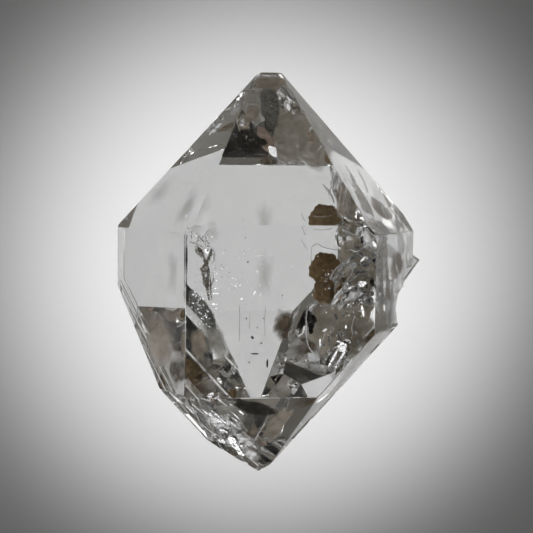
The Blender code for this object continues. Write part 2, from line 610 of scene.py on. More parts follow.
class Skin:
    """The crystal's surface, which keeps what lies inside it under it."""

    def __init__(self, bm: BMesh) -> None:
        """Keeps a search tree of the surface."""
        self.tree = BVHTree.FromBMesh(bm)

    def depth_mm(self, place: Vector) -> float:
        """How deep a place lies under the surface.

        Args:
            place: The place in metres.

        Returns:
            The distance to the surface, negative outside the crystal.
        """
        spot, normal, _, distance = self.tree.find_nearest(place)
        side = 1.0 if (place - spot).dot(normal) < 0.0 else -1.0
        return side * distance / MM

    def close(self, bm: BMesh, margin_mm: float, thick_mm: float) -> None:
        """Trims an open sheet under the surface and gives it thickness along its own normals.

        Args:
            bm: The sheet.
            margin_mm: The depth that it keeps.
            thick_mm: Its thickness.
        """
        shallow = [v for v in bm.verts if self.depth_mm(v.co) < margin_mm]
        bmesh.ops.delete(bm, geom=shallow, context="VERTS")
        loose = [v for v in bm.verts if not v.link_faces]
        bmesh.ops.delete(bm, geom=loose, context="VERTS")
        grown = bmesh.ops.extrude_face_region(bm, geom=bm.faces[:])["geom"]
        bm.normal_update()
        for part in grown:
            if isinstance(part, bmesh.types.BMVert):
                part.co -= part.normal * thick_mm * MM


@dataclass(frozen=True)
class Sheet:
    """One curved, ragged sheet inside the quartz."""

    centre_mm: Place
    half_mm: Pair
    seed: float
    facing: Way = Face.FRONT
    turn_deg: float = 0.0
    bow_mm: float = 0.2
    ripple_mm: float = 0.12
    pitch_mm: float = 1.2
    rag: float = 0.35
    rag_pace: float = 1.7
    octaves: int = 3
    steps: int = 24

    def shape(self) -> BMesh:
        """Shapes the sheet without thickness, with its fade toward the edge."""
        bm = bmesh.new()
        bmesh.ops.create_grid(bm, x_segments=self.steps, y_segments=self.steps, size=1.0)
        fade = bm.verts.layers.float.new(FADE)
        drift = drift_of(self.seed)
        outside = []
        for vertex in bm.verts:
            flat = Vector((vertex.co.x * self.half_mm[0], vertex.co.y * self.half_mm[1], 0.0))
            edge = 1.0 - self.rag * (0.5 + noise.noise(vertex.co.normalized() * self.rag_pace + drift))
            reach = vertex.co.length / edge
            vertex[fade] = max(0.0, 1.0 - reach)
            if reach > 1.0:
                outside.append(vertex)
            lift = -self.bow_mm * (vertex.co.x**2 + vertex.co.y**2)
            lift += self.ripple_mm * noise.fractal(flat / self.pitch_mm + drift, 1.0, 2.0, self.octaves)
            vertex.co = flat + Vector((0.0, 0.0, lift))
        bmesh.ops.delete(bm, geom=outside, context="VERTS")
        placed = placement(self.centre_mm, self.facing, self.turn_deg)
        bmesh.ops.transform(bm, matrix=placed, verts=bm.verts[:])
        return bm


@dataclass(frozen=True)
class Swarm:
    """A crowd of sheets with one range of places, facings and sizes."""

    low_mm: Place
    high_mm: Place
    count: int
    seed: int
    facing: Place = (0.0, 0.0, 0.7)
    scatter: float = 1.0
    half_mm: Pair = (1.0, 2.0)
    narrow: float = 0.6
    turns_deg: Pair = (0.0, 180.0)
    bow: float = 0.25
    ripple_mm: float = 0.15
    pitch_mm: float = 1.6
    least_rise: float = 0.05
    plump: Pair = (0.7, 1.2)
    seed_step: float = 3.7

    def sheets(self) -> list[Sheet]:
        """The crowd's sheets."""
        rng = random.Random(self.seed)
        made = []
        for index in range(self.count):
            centre = tuple(rng.uniform(low, high) for low, high in zip(self.low_mm, self.high_mm))
            facing = tuple(way + self.scatter * rng.uniform(-1.0, 1.0) for way in self.facing)
            facing = (facing[0], facing[1], abs(facing[2]) + self.least_rise)
            long = rng.uniform(*self.half_mm)
            half = (long, long * self.narrow * rng.uniform(*self.plump))
            turn = rng.uniform(*self.turns_deg)
            bow = self.bow * rng.uniform(-1.0, 1.0) * long
            seed = self.seed_step * index + self.seed
            made.append(Sheet(centre, half, seed, facing, turn, bow, self.ripple_mm, self.pitch_mm))
        return made


def smooth_path(path_mm: tuple[Pair, ...], height_mm: float, steps: int) -> list[Vector]:
    """A smooth path through places at one height.

    Args:
        path_mm: The places that it passes.
        height_mm: Their height.
        steps: The number of points from one place to the next.

    Returns:
        The path's points in millimetres.
    """
    corners = [Vector((x, y, height_mm)) for x, y in path_mm]
    padded = [2.0 * corners[0] - corners[1], *corners, 2.0 * corners[-1] - corners[-2]]
    places = []
    for before, start, end, after in zip(padded, padded[1:], padded[2:], padded[3:]):
        for step in range(steps):
            t = step / steps
            bend = (end - before) * t + (2.0 * before - 5.0 * start + 4.0 * end - after) * t**2
            bend += (3.0 * start - before - 3.0 * end + after) * t**3
            places.append(start + 0.5 * bend)
    places.append(corners[-1])
    return places


@dataclass(frozen=True)
class Ribbon:
    """A long narrow crinkled sheet along a path at one height."""

    path_mm: tuple[Pair, ...]
    half_mm: float
    seed: float
    height_mm: float = 13.4
    tilt_deg: float = 50.0
    crinkle_mm: float = 0.12
    pitch_mm: float = 0.35
    along: int = 60
    across: int = 6
    steps: int = 8
    end_share: float = 0.15
    even: float = 0.8
    uneven: float = 0.9
    edge_fade: float = 0.8

    def shape(self) -> BMesh:
        """Shapes the ribbon without thickness, with its fade toward both edges."""
        places = smooth_path(self.path_mm, self.height_mm, self.steps)
        drift = drift_of(self.seed)
        bm = bmesh.new()
        bmesh.ops.create_grid(bm, x_segments=self.along, y_segments=self.across, size=1.0)
        fade = bm.verts.layers.float.new(FADE)
        for vertex in bm.verts:
            across = vertex.co.y
            reach = 0.5 * (vertex.co.x + 1.0) * (len(places) - 1)
            index = min(int(reach), len(places) - 2)
            spot = places[index].lerp(places[index + 1], reach - index)
            side = self.side((places[index + 1] - places[index]).normalized())
            bulge = math.sqrt(max(0.0, 1.0 - vertex.co.x**2))
            taper = self.end_share + (1.0 - self.end_share) * bulge
            unevenness = noise.noise(spot / (2.0 * self.pitch_mm) + drift)
            wide = self.half_mm * taper * (self.even + self.uneven * unevenness)
            vertex[fade] = 1.0 - self.edge_fade * abs(across)
            place = spot + side * across * wide
            place += self.crinkle_mm * noise.turbulence_vector(place / self.pitch_mm + drift, 3, False)
            vertex.co = place * MM
        return bm

    def side(self, heading: Vector) -> Vector:
        """The way across the ribbon where it runs along a heading."""
        tilt = math.radians(self.tilt_deg)
        return Vector((-heading.y, heading.x, 0.0)) * math.cos(tilt) + Vector((0.0, 0.0, math.sin(tilt)))


@dataclass(frozen=True)
class Strand(Ribbon):
    """A fine ribbon that mirrors the key lamp wherever it runs."""

    crinkle_mm: float = 0.02
    along: int = 90
    across: int = 2

    def side(self, heading: Vector) -> Vector:
        """The way across the strand where it runs along a heading."""
        return Vector(Gleam.FRONT.value).cross(heading).normalized()


@dataclass(frozen=True)
class Thread:
    """A fine round channel along a smooth path at one height."""

    path_mm: tuple[Pair, ...]
    height_mm: float = 13.4
    radius_mm: float = 0.05
    wander_mm: float = 0.02
    sides: int = 6
    steps: int = 6
    strand_share: float = 0.9

    def shape(self) -> BMesh:
        """Builds the closed channel with its walls facing outwards."""
        path = smooth_path(self.path_mm, self.height_mm, self.steps)
        places = [(p + self.wander_mm * noise.noise_vector(p * 2.0)) * MM for p in path]
        bm = bmesh.new()
        radius = self.radius_mm * MM
        ring = bmesh.ops.create_circle(bm, cap_ends=True, segments=self.sides, radius=radius)["verts"]
        heading = (places[1] - places[0]).normalized()
        turn = Vector((0.0, 0.0, 1.0)).rotation_difference(heading).to_matrix().to_4x4()
        bmesh.ops.transform(bm, matrix=Matrix.Translation(places[0]) @ turn, verts=ring)
        cap = bm.faces[:]
        for index in range(1, len(places)):
            grown = bmesh.ops.extrude_face_region(bm, geom=cap)["geom"]
            ring = [part for part in grown if isinstance(part, bmesh.types.BMVert)]
            cap = [part for part in grown if isinstance(part, bmesh.types.BMFace)]
            ahead = places[min(index + 1, len(places) - 1)] - places[index - 1]
            turn = heading.rotation_difference(ahead.normalized()).to_matrix().to_4x4()
            heading = ahead.normalized()
            there = Matrix.Translation(places[index])
            back = Matrix.Translation(-places[index - 1])
            bmesh.ops.transform(bm, matrix=there @ turn @ back, verts=ring)
        bmesh.ops.recalc_face_normals(bm, faces=bm.faces[:])
        return bm

    def strand(self) -> Strand:
        """The bright strand that lies over the channel."""
        height = self.height_mm + 2.0 * self.radius_mm
        return Strand(self.path_mm, self.strand_share * self.radius_mm, height, height)


def bevel_all(bm: BMesh, edges: list[bmesh.types.BMEdge], offset: float) -> None:
    """Cuts a narrow flat along edges."""
    bmesh.ops.bevel(bm, geom=edges, offset=offset, segments=1, profile=0.5, affect="EDGES", material=-1)


@dataclass(frozen=True)
class Pocket:
    """A flat-sided hollow inside the quartz, shaped like a small crystal of nothing."""

    centre_mm: Place
    facing: Place
    size_mm: Place
    turn_deg: float = 0.0
    bevel: float = 0.25

    def shape(self) -> BMesh:
        """Builds the closed hollow with its walls facing outwards."""
        bm = bmesh.new()
        bmesh.ops.create_cube(bm, size=1.0)
        bevel_all(bm, bm.edges[:], self.bevel)
        placed = placement(self.centre_mm, self.facing, self.turn_deg) @ Matrix.Diagonal((*self.size_mm, 1.0))
        bmesh.ops.transform(bm, matrix=placed, verts=bm.verts[:])
        return bm


@dataclass
class Crystal:
    """The crystal's own body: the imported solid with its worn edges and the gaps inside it."""

    edge_wear_mm: float = 0.04
    worn_rad: float = 0.3
    worn_mm: float = 1.5
    gap_mm: float = 0.012
    crack_margin_mm: float = 0.12
    swarms: tuple[Swarm, ...] = (
        Swarm((4.8, -1.6, 6.0), (7.4, 2.6, 12.0), 6, 5, half_mm=(1.2, 2.4), ripple_mm=0.12, pitch_mm=2.2),
        Swarm((3.8, -6.2, 6.0), (6.6, -2.0, 12.5), 5, 11, half_mm=(1.2, 2.4), ripple_mm=0.12, pitch_mm=2.2),
        Swarm((3.9, 3.0, 7.0), (5.6, 6.2, 11.0), 5, 21, (0.8, 0.1, 0.5), 0.4, (0.9, 1.7), 0.3, (70.0, 110.0)),
    )
    chain: tuple[Ribbon, ...] = (
        Ribbon(((-6.65, 3.20), (-6.10, 2.70), (-5.60, 2.30), (-5.20, 2.05)), 0.10, 1.0, 16.4, 60.0, 0.08),
        Ribbon(((-6.30, 2.45), (-5.80, 2.85), (-5.30, 3.30)), 0.07, 2.0, 16.4, -55.0, 0.08),
        Ribbon(((-5.45, 1.10), (-5.35, 0.29), (-5.25, -0.78), (-5.15, -1.60)), 0.12, 3.0, 16.4, 60.0, 0.06),
        Ribbon(((-5.05, -2.50), (-4.95, -3.00), (-4.85, -3.60)), 0.10, 5.0, 16.4, -55.0, 0.08),
        Ribbon(((3.96, 7.38), (3.89, 6.34), (3.69, 5.44), (3.54, 4.31)), 0.08, 7.0, 12.0, 60.0, 0.08),
        Ribbon(((4.22, 6.77), (4.07, 5.19)), 0.05, 8.0, 12.0, 60.0, 0.06),
        Ribbon(((4.52, 6.24), (4.40, 5.10), (4.22, 3.87)), 0.07, 9.0, 12.0, 60.0, 0.06),
        Ribbon(((4.89, 5.63), (4.75, 4.50), (4.59, 3.25)), 0.07, 10.0, 12.0, 60.0, 0.06),
        Ribbon(((5.27, 5.01), (5.05, 3.90), (4.82, 2.72)), 0.06, 11.0, 12.0, 60.0, 0.06),
        Ribbon(((5.13, 1.43), (4.62, 0.93), (4.11, 0.35), (3.74, -0.37)), 0.22, 12.0),
        Ribbon(((6.60, 0.49), (5.72, 0.20), (4.99, -0.37), (4.40, -1.24), (4.11, -1.82)), 0.26, 13.0),
        Ribbon(((6.82, -1.82), (5.86, -1.82), (4.99, -2.40), (4.40, -3.12)), 0.26, 14.0, tilt_deg=-45.0),
        Ribbon(((4.25, 3.38), (5.13, 2.80), (6.16, 2.51), (6.89, 2.66)), 0.24, 15.0),
        Ribbon(((4.62, 1.79), (5.57, 1.79), (6.60, 2.08)), 0.24, 16.0, tilt_deg=-45.0),
        Ribbon(((4.77, -3.62), (4.25, -4.56), (3.52, -5.57), (2.94, -6.51)), 0.24, 17.0),
        Ribbon(((5.13, -4.34), (4.99, -5.43), (4.47, -6.51), (3.89, -7.23)), 0.28, 18.0, tilt_deg=-45.0),
        Ribbon(((1.33, -2.18), (0.74, -3.62), (0.59, -4.71)), 0.22, 19.0),
    )
    hairs: tuple[Thread, ...] = (
        Thread(((3.52, 3.38), (2.94, 3.24), (2.20, 3.31)), radius_mm=0.025),
        Thread(((1.33, 3.52), (1.62, 2.88)), radius_mm=0.02),
        Thread(((1.33, 2.51), (1.77, 1.86)), radius_mm=0.02),
        Thread(((4.18, 3.52), (4.33, 3.09), (4.33, 2.66), (4.03, 2.44)), radius_mm=0.03),
        Thread(((2.06, 2.01), (2.50, 2.23), (2.94, 2.01), (3.60, 1.86), (4.25, 1.79)), radius_mm=0.025),
        Thread(((2.06, 1.95), (2.06, 0.93)), radius_mm=0.02),
        Thread(((-3.07, -2.18), (-3.05, -3.40), (-3.07, -4.78)), radius_mm=0.02),
        Thread(((-2.30, -2.60), (-2.33, -3.90)), radius_mm=0.015),
        Thread(((-1.20, -2.30), (-1.24, -3.60), (-1.20, -4.40)), radius_mm=0.015),
    )
    pockets: tuple[Pocket, ...] = (
        Pocket((4.95, -1.35, 14.2), (0.35, -0.45, 0.8), (1.55, 1.15, 0.5), 35.0),
        Pocket((4.35, -5.95, 12.6), (-0.5, 0.3, 0.8), (0.8, 1.9, 0.5), -30.0),
    )

    def take(self, body: bpy.types.Mesh, bm: BMesh, smooth: bool = True) -> None:
        """Takes a closed shape out of the crystal: its walls face into the gap.

        Args:
            body: The crystal's mesh.
            bm: The closed shape, which this frees.
            smooth: Whether its walls are curved.
        """
        bmesh.ops.recalc_face_normals(bm, faces=bm.faces[:])
        bmesh.ops.reverse_faces(bm, faces=bm.faces[:])
        for face in bm.faces:
            face.smooth = smooth
        bm.from_mesh(body)
        bm.to_mesh(body)
        bm.free()

    def crack(self, body: bpy.types.Mesh, skin: Skin, bm: BMesh) -> None:
        """Opens one crack along a sheet.

        Args:
            body: The crystal's mesh.
            skin: The crystal's surface, which the crack stays under.
            bm: The sheet that the crack follows, which this frees.
        """
        bm.verts.layers.float.remove(bm.verts.layers.float[FADE])
        skin.close(bm, self.crack_margin_mm, self.gap_mm)
        self.take(body, bm)

    def wear(self, bm: BMesh) -> None:
        """Cuts the long sharp edges of the crystal a little flat.

        Args:
            bm: The crystal's body.
        """
        worn = []
        for edge in bm.edges:
            sharp = edge.is_convex and edge.calc_face_angle(0.0) > self.worn_rad
            if sharp and edge.calc_length() > self.worn_mm * MM:
                worn.append(edge)
        bevel_all(bm, worn, self.edge_wear_mm * MM)

    def build(self) -> Skin:
        """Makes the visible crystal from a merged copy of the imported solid, and gives its surface."""
        bm = bmesh.new()
        bm.from_mesh(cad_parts[NODE].data)
        bmesh.ops.remove_doubles(bm, verts=bm.verts[:], dist=MERGE_MM * MM)
        bm.normal_update()
        self.wear(bm)
        bm.normal_update()
        skin = Skin(bm)
        mesh = bpy.data.meshes.new("crystal")
        bm.to_mesh(mesh)
        bm.free()
        for sheet in (*self.chain, *(sheet for swarm in self.swarms for sheet in swarm.sheets())):
            self.crack(mesh, skin, sheet.shape())
        for hair in self.hairs:
            self.take(mesh, hair.shape())
        for pocket in self.pockets:
            self.take(mesh, pocket.shape(), smooth=False)
        mesh.materials.append(ClearQuartz().material())
        made = put("crystal", mesh)
        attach(made, BODY)
        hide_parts(NODE)
        LOG.info("%s: %d faces", made.name, len(mesh.polygons))
        return skin


@dataclass(frozen=True)
class Lump:
    """One rough lump of mineral matter."""

    centre_mm: Place
    half_mm: Place
    turn_deg: float = 0.0
    rough: float = 0.25
    fineness: int = 4
    seed: float = 0.0
    pace: float = 1.4
    octaves: int = 5

    def shape(self) -> BMesh:
        """Builds the closed lump in the crystal's frame."""
        bm = bmesh.new()
        bmesh.ops.create_icosphere(bm, subdivisions=self.fineness, radius=1.0)
        drift = Vector((self.seed, 0.0, -self.seed))
        for vertex in bm.verts:
            swell = noise.fractal(vertex.co * self.pace + drift, 0.8, 2.1, self.octaves)
            vertex.co *= 1.0 + self.rough * swell
        placed = placement(self.centre_mm, Face.FRONT, self.turn_deg) @ Matrix.Diagonal((*self.half_mm, 1.0))
        bmesh.ops.transform(bm, matrix=placed, verts=bm.verts[:])
        return bm


@dataclass(frozen=True)
class Flake:
    """One thin flat flake with a ragged edge."""

    centre_mm: Place
    half_mm: Pair
    turn_deg: float = 0.0
    facing: Way = Gleam.FRONT
    thick_mm: float = 0.02
    corners: int = 11
    rag: float = 0.45
    pace: float = 1.5
    seed_step: float = 7.0

    def shape(self) -> BMesh:
        """Builds the closed flake in the crystal's frame."""
        bm = bmesh.new()
        bmesh.ops.create_cone(bm, cap_ends=True, segments=self.corners, radius1=1.0, radius2=1.0, depth=2.0)
        drift = self.seed_step * Vector(self.centre_mm)
        for vertex in bm.verts:
            flat = Vector((vertex.co.x, vertex.co.y, 0.0))
            vertex.co += self.rag * noise.noise(self.pace * flat + drift) * flat
        grow = Matrix.Diagonal((*self.half_mm, self.thick_mm, 1.0))
        placed = placement(self.centre_mm, self.facing, self.turn_deg) @ grow
        bmesh.ops.transform(bm, matrix=placed, verts=bm.verts[:])
        return bm


@dataclass(frozen=True)
class Cloud:
    """A cloud of tiny flakes that mostly face one way, most of them near its middle and small."""

    centre_mm: Place
    half_mm: Place
    count: int
    seed: int
    facing: Gleam = Gleam.FRONT
    scatter: float = 0.06
    small_mm: float = 0.022
    large_mm: float = 0.065
    slim: float = 0.5
    turns_deg: Pair = (0.0, 180.0)
    thick_mm: float = 0.004
    corners: int = 6
    spread: float = 0.5
    smallness: int = 3

    def flakes(self) -> list[Flake]:
        """The cloud's flakes."""
        rng = random.Random(self.seed)
        made = []
        for _ in range(self.count):
            sides = zip(self.centre_mm, self.half_mm)
            centre = tuple(middle + half * rng.gauss(0.0, self.spread) for middle, half in sides)
            facing = tuple(way + rng.gauss(0.0, self.scatter) for way in self.facing.value)
            long = self.small_mm + (self.large_mm - self.small_mm) * rng.random() ** self.smallness
            half = (long, long * rng.uniform(self.slim, min(1.0, 2.0 * self.slim)))
            turn = rng.uniform(*self.turns_deg)
            made.append(Flake(centre, half, turn, facing, self.thick_mm, self.corners))
        return made


@dataclass
class Inclusion:
    """One kind of matter inside the crystal, joined in one piece."""

    name: str
    finish: Finish
    parts: tuple[Lump | Flake | Thread | Ribbon | Sheet, ...]
    margin_mm: float = 0.1
    thick_mm: float = 0.02
    curved: bool = True

    def fits(self, skin: Skin, bm: BMesh) -> bool:
        """Closes the shape if it is an open sheet, and says whether all of it lies inside.

        Args:
            skin: The crystal's surface.
            bm: The shape.

        Returns:
            Whether the whole shape keeps its depth.
        """
        margin = self.margin_mm
        if any(edge.is_boundary for edge in bm.edges):
            skin.close(bm, margin, self.thick_mm)
            margin -= 2.0 * self.thick_mm
        return all(skin.depth_mm(vertex.co) > margin for vertex in bm.verts)

    def build(self, skin: Skin) -> None:
        """Joins the shapes in one object that stays inside the crystal.

        Args:
            skin: The crystal's surface.
        """
        mesh = bpy.data.meshes.new(self.name)
        for part in self.parts:
            bm = part.shape()
            if self.fits(skin, bm):
                bmesh.ops.recalc_face_normals(bm, faces=bm.faces[:])
                for face in bm.faces:
                    face.smooth = self.curved
                bm.from_mesh(mesh)
                bm.to_mesh(mesh)
            else:
                LOG.info("%s: left out one shape that would reach the surface", self.name)
            bm.free()
        mesh.materials.append(self.finish.material())
        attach(put(self.name, mesh), BODY)
        LOG.info("%s: %d faces", self.name, len(mesh.polygons))


@dataclass
class Flakes(Inclusion):
    """Flat flakes of one kind."""

    margin_mm: float = 0.05
    curved: bool = False


@dataclass
class Films(Inclusion):
    """Thin films of one kind along old cracks: stains, and in the dark and grey films painted shade."""

    margin_mm: float = 0.15


def clay() -> Inclusion:
    """The brown clay that the right side holds."""
    finish = Mottled("clay", (0.32, 0.215, 0.105), (0.20, 0.125, 0.058), 0.3)
    lumps = (
        Lump((4.40, -0.05, 1.9), (1.30, 1.05, 0.4), 10.0, 0.3, seed=1.0),
        Lump((4.00, -1.72, 4.8), (0.85, 1.05, 0.40), 0.0, 0.3, seed=2.0),
    )
    return Inclusion("clay", finish, lumps)


def dark_specks() -> Inclusion:
    """The black-brown specks and short bars in the clear middle."""
    finish = Mottled("dark_specks", (0.030, 0.024, 0.018), (0.012, 0.010, 0.008), 0.1)
    height_mm = 13.4
    specks = (
        (-2.11, -4.49, (0.09, 0.13, 0.05), 40.0),
        (-1.90, -5.68, (0.30, 0.05, 0.05), 0.0),
        (-1.02, -6.40, (0.07, 0.30, 0.06), 0.0),
        (-1.46, -4.92, (0.06, 0.06, 0.05), 0.0),
        (-2.55, -3.12, (0.05, 0.07, 0.05), 0.0),
        (-1.75, -3.77, (0.05, 0.05, 0.05), 0.0),
        (-1.31, -3.12, (0.04, 0.06, 0.04), 0.0),
        (-2.33, -6.29, (0.05, 0.06, 0.04), 0.0),
        (-2.48, 0.93, (0.06, 0.06, 0.05), 0.0),
    )
    lumps = tuple(Lump((x, y, height_mm), half, turn, fineness=2) for x, y, half, turn in specks)
    return Inclusion("dark_specks", finish, lumps)


def ochre_bits() -> Inclusion:
    """The small pink to orange bits of iron-stained matter."""
    finish = Mottled("ochre", (0.96, 0.80, 0.72), (0.66, 0.44, 0.30), 0.4)
    lumps = (
        Lump((-0.95, 9.35, 11.3), (0.48, 1.20, 0.22), 22.0, fineness=3, seed=1.0),
        Lump((2.26, 9.90, 11.0), (0.22, 0.16, 0.12), 30.0, fineness=3, seed=2.0),
        Lump((2.45, 9.40, 11.4), (0.12, 0.14, 0.10), 0.0, fineness=3, seed=3.0),
        Lump((4.22, -1.53, 14.3), (0.14, 0.20, 0.10), -20.0, fineness=3, seed=4.0),
    )
    return Inclusion("ochre_bits", finish, lumps)


def pale_threads() -> Inclusion:
    """The bright curling threads before the crowded right side, and the bright strands on the left."""
    threads = (
        Thread(
            (
                (3.35, -0.30), (3.55, 0.15), (3.90, 0.62), (4.40, 0.88), (4.90, 0.84), (5.04, 0.50),
                (4.86, 0.06), (4.58, -0.37), (4.15, -1.10), (3.59, -1.82), (3.15, -2.18), (2.64, -2.15),
            ),
            14.2,
        ),
        Thread(((4.05, -0.25), (4.35, 0.22), (4.75, 0.42)), 14.2, 0.03),
        Thread(
            (
                (2.42, -1.82), (1.80, -2.20), (1.68, -2.90), (1.66, -3.90), (1.76, -4.71), (1.98, -5.29),
                (2.35, -5.50), (2.79, -5.07), (2.86, -4.71), (3.02, -4.10),
            ),
            14.3,
        ),
        Thread(((4.33, -1.24), (4.84, -0.95), (5.43, -0.52), (5.86, -0.52)), 14.4, 0.06),
        Thread(((5.20, -2.90), (5.00, -3.60), (5.10, -4.30)), 14.2, 0.035),
        Thread(((3.30, -6.90), (3.80, -6.10), (4.10, -5.20)), 14.0, 0.03),
    )
    strands = (
        Strand(((-6.65, 3.25), (-6.20, 2.80), (-5.75, 2.35), (-5.30, 2.05)), 0.08, 1.0, 16.5),
        Strand(((-6.30, 3.20), (-5.90, 2.75), (-5.60, 2.45), (-5.25, 2.30)), 0.06, 2.0, 16.5),
        Strand(((-6.75, 2.45), (-6.30, 2.35), (-5.90, 2.15), (-5.50, 1.95)), 0.07, 3.0, 16.5),
        Strand(((-5.70, 2.90), (-5.60, 2.45), (-5.45, 2.00), (-5.45, 1.60)), 0.07, 4.0, 16.5),
        Strand(((-5.20, 2.10), (-5.02, 1.50), (-5.15, 0.90)), 0.06, 5.0, 16.5),
        Strand(((-5.30, 0.60), (-5.10, 0.20), (-5.12, -0.50)), 0.06, 6.0, 16.5),
    )
    parts = (*threads, *strands, *(thread.strand() for thread in threads))
    return Inclusion("pale_threads", SilverGap(), parts, thick_mm=0.01)


def bright_flakes() -> Inclusion:
    """The silvery flakes and the clouds of tiny ones that catch the light."""
    finish = SilverGap(light=(0.82, 0.82, 0.83), dark=(0.10, 0.10, 0.105), pitch_mm=0.12)
    flakes = (
        Flake((5.66, -0.58, 14.45), (0.33, 0.22), 20.0),
        Flake((5.70, 1.22, 14.45), (0.28, 0.08), 50.0),
        Flake((5.76, -2.52, 14.46), (0.10, 0.42), 15.0),
        Flake((5.35, -1.75, 14.0), (0.18, 0.06), 30.0),
        Flake((4.46, -4.34, 13.47), (0.14, 0.10)),
        Flake((4.66, -3.76, 13.47), (0.06, 0.14)),
        Flake((2.79, -4.92, 13.46), (0.07, 0.33)),
        Flake((4.30, -5.15, 14.3), (0.30, 0.40), -27.0),
        Flake((4.20, -6.00, 14.3), (0.09, 1.00), -27.0),
        Flake((3.65, -5.95, 14.3), (0.08, 0.75), -27.0),
        Flake((-3.46, -11.93, 14.0), (0.45, 0.22), -50.0, Gleam.LOW),
        Flake((-3.20, -12.55, 13.5), (0.70, 0.20), -55.0, Gleam.LOW),
        Flake((-2.75, -13.20, 13.0), (0.40, 0.16), -50.0, Gleam.LOW),
        Flake((-4.10, -11.10, 14.5), (0.35, 0.12), -45.0, Gleam.LOW),
        Flake((-2.05, -14.05, 12.2), (0.30, 0.20), -30.0, Gleam.LOW),
        Flake((-7.22, -8.42, 14.72), (0.70, 0.08), -40.0, Gleam.LOW_LEFT),
        Flake((-6.17, -9.16, 15.37), (0.50, 0.07), -40.0, Gleam.LOW_LEFT),
        Flake((0.82, 12.17, 9.56), (0.22, 0.40), 10.0, Gleam.TOP),
        Flake((1.25, 11.60, 10.0), (0.10, 0.20), 10.0, Gleam.TOP),
        Flake((2.40, 10.45, 11.3), (0.05, 0.30), -35.0, Gleam.TOP),
        Flake((2.95, 8.95, 12.3), (0.05, 0.25), -35.0, Gleam.TOP),
        Flake((-2.70, 10.70, 10.6), (0.20, 0.35), -20.0, Gleam.TOP),
        Flake((-5.54, 1.85, 16.5), (0.14, 0.18), 20.0),
        Flake((-4.95, -0.75, 16.4), (0.28, 0.04), 5.0),
        Flake((-4.95, -1.09, 16.4), (0.26, 0.05), -4.0),
        Flake((-4.98, -1.85, 16.4), (0.26, 0.05), 3.0),
        Flake((-5.00, -2.13, 16.4), (0.22, 0.04), -3.0),
        Flake((-5.05, -2.95, 16.4), (0.06, 0.35), 12.0),
        Flake((-4.85, -3.15, 16.4), (0.05, 0.35), -8.0),
        Flake((-2.22, -1.16, 16.4), (0.05, 0.26), -20.0),
        Flake((-3.08, -1.50, 16.4), (0.12, 0.04), 10.0),
        Flake((-5.15, -8.44, 15.0), (0.25, 0.15), 40.0),
        Flake((-7.83, -5.00, 13.51), (0.12, 0.20), 20.0, Gleam.LEFT),
        Flake((-6.97, -3.12, 15.4), (0.12, 0.16), 20.0, Gleam.LEFT),
        Flake((-6.68, 3.96, 15.3), (0.10, 0.16), 20.0, Gleam.TOP_LEFT),
        Flake((7.02, -2.33, 15.0), (0.16, 0.30), 20.0, Gleam.RIGHT),
    )
    clouds = (
        Cloud((-2.98, 1.81, 16.2), (0.9, 0.45, 0.3), 36, 1),
        Cloud((-4.50, 0.80, 16.2), (0.6, 0.7, 0.3), 36, 8),
        Cloud((-3.46, -0.54, 16.2), (0.9, 0.7, 0.3), 48, 2),
        Cloud((-1.97, -0.37, 15.0), (3.1, 3.0, 1.2), 60, 4),
        Cloud((-6.20, -1.60, 16.95), (0.6, 1.2, 0.1), 60, 5, small_mm=0.03, large_mm=0.08),
        Cloud((-5.60, -2.90, 16.95), (0.6, 1.0, 0.1), 40, 19, small_mm=0.03, large_mm=0.08),
        Cloud((5.50, 1.30, 14.3), (0.9, 1.4, 0.3), 36, 21, Gleam.FRONT, 0.45, 0.08, 0.40, 0.35),
        Cloud((5.80, -1.20, 14.3), (0.8, 1.6, 0.3), 44, 22, Gleam.FRONT, 0.45, 0.08, 0.45, 0.35),
        Cloud((4.30, -4.60, 14.1), (1.5, 1.6, 0.3), 44, 23, Gleam.FRONT, 0.45, 0.08, 0.45, 0.35),
        Cloud((-5.75, 2.75, 16.4), (0.7, 0.5, 0.1), 60, 9, large_mm=0.20, slim=0.12),
        Cloud((-5.00, 0.60, 16.4), (0.3, 1.2, 0.1), 40, 12, large_mm=0.20, slim=0.12),
        Cloud((-4.25, -7.30, 13.6), (0.9, 1.3, 0.5), 26, 17, Gleam.FRONT, 0.40, 0.10, 0.50, 0.4),
        Cloud((-4.00, -10.3, 14.4), (1.4, 1.3, 0.5), 44, 18, Gleam.LOW, 0.35, 0.08, 0.45, 0.4),
        Cloud(
            (-4.30, -10.0, 14.9), (1.4, 1.3, 0.3), 22, 20, Gleam.LOW, 0.08, 0.30, 0.90, 0.07, (-58.0, -42.0),
        ),
        Cloud((4.10, -5.60, 14.2), (0.6, 1.1, 0.2), 40, 14, large_mm=0.20, slim=0.15),
        Cloud((-3.40, -12.0, 13.6), (0.9, 1.0, 0.3), 70, 15, Gleam.LOW, 0.15, large_mm=0.14),
        Cloud((-2.20, -13.7, 12.0), (0.6, 0.6, 0.3), 30, 16, Gleam.LOW, 0.15, large_mm=0.12),
        Cloud((4.30, -2.50, 14.2), (2.5, 4.4, 0.4), 110, 6),
        Cloud((4.15, -0.80, 5.8), (0.9, 1.5, 0.1), 24, 7, large_mm=0.08),
        Cloud((-2.60, 9.20, 11.6), (1.2, 1.2, 0.1), 60, 10, Gleam.TOP),
        Cloud((-0.60, 11.6, 10.1), (0.6, 1.6, 0.1), 60, 11, Gleam.TOP),
        Cloud((-2.20, 8.00, 12.8), (2.2, 0.4, 0.1), 40, 13, Gleam.TOP),
    )
    parts = (*flakes, *(flake for cloud in clouds for flake in cloud.flakes()))
    return Flakes("bright_flakes", finish, parts)


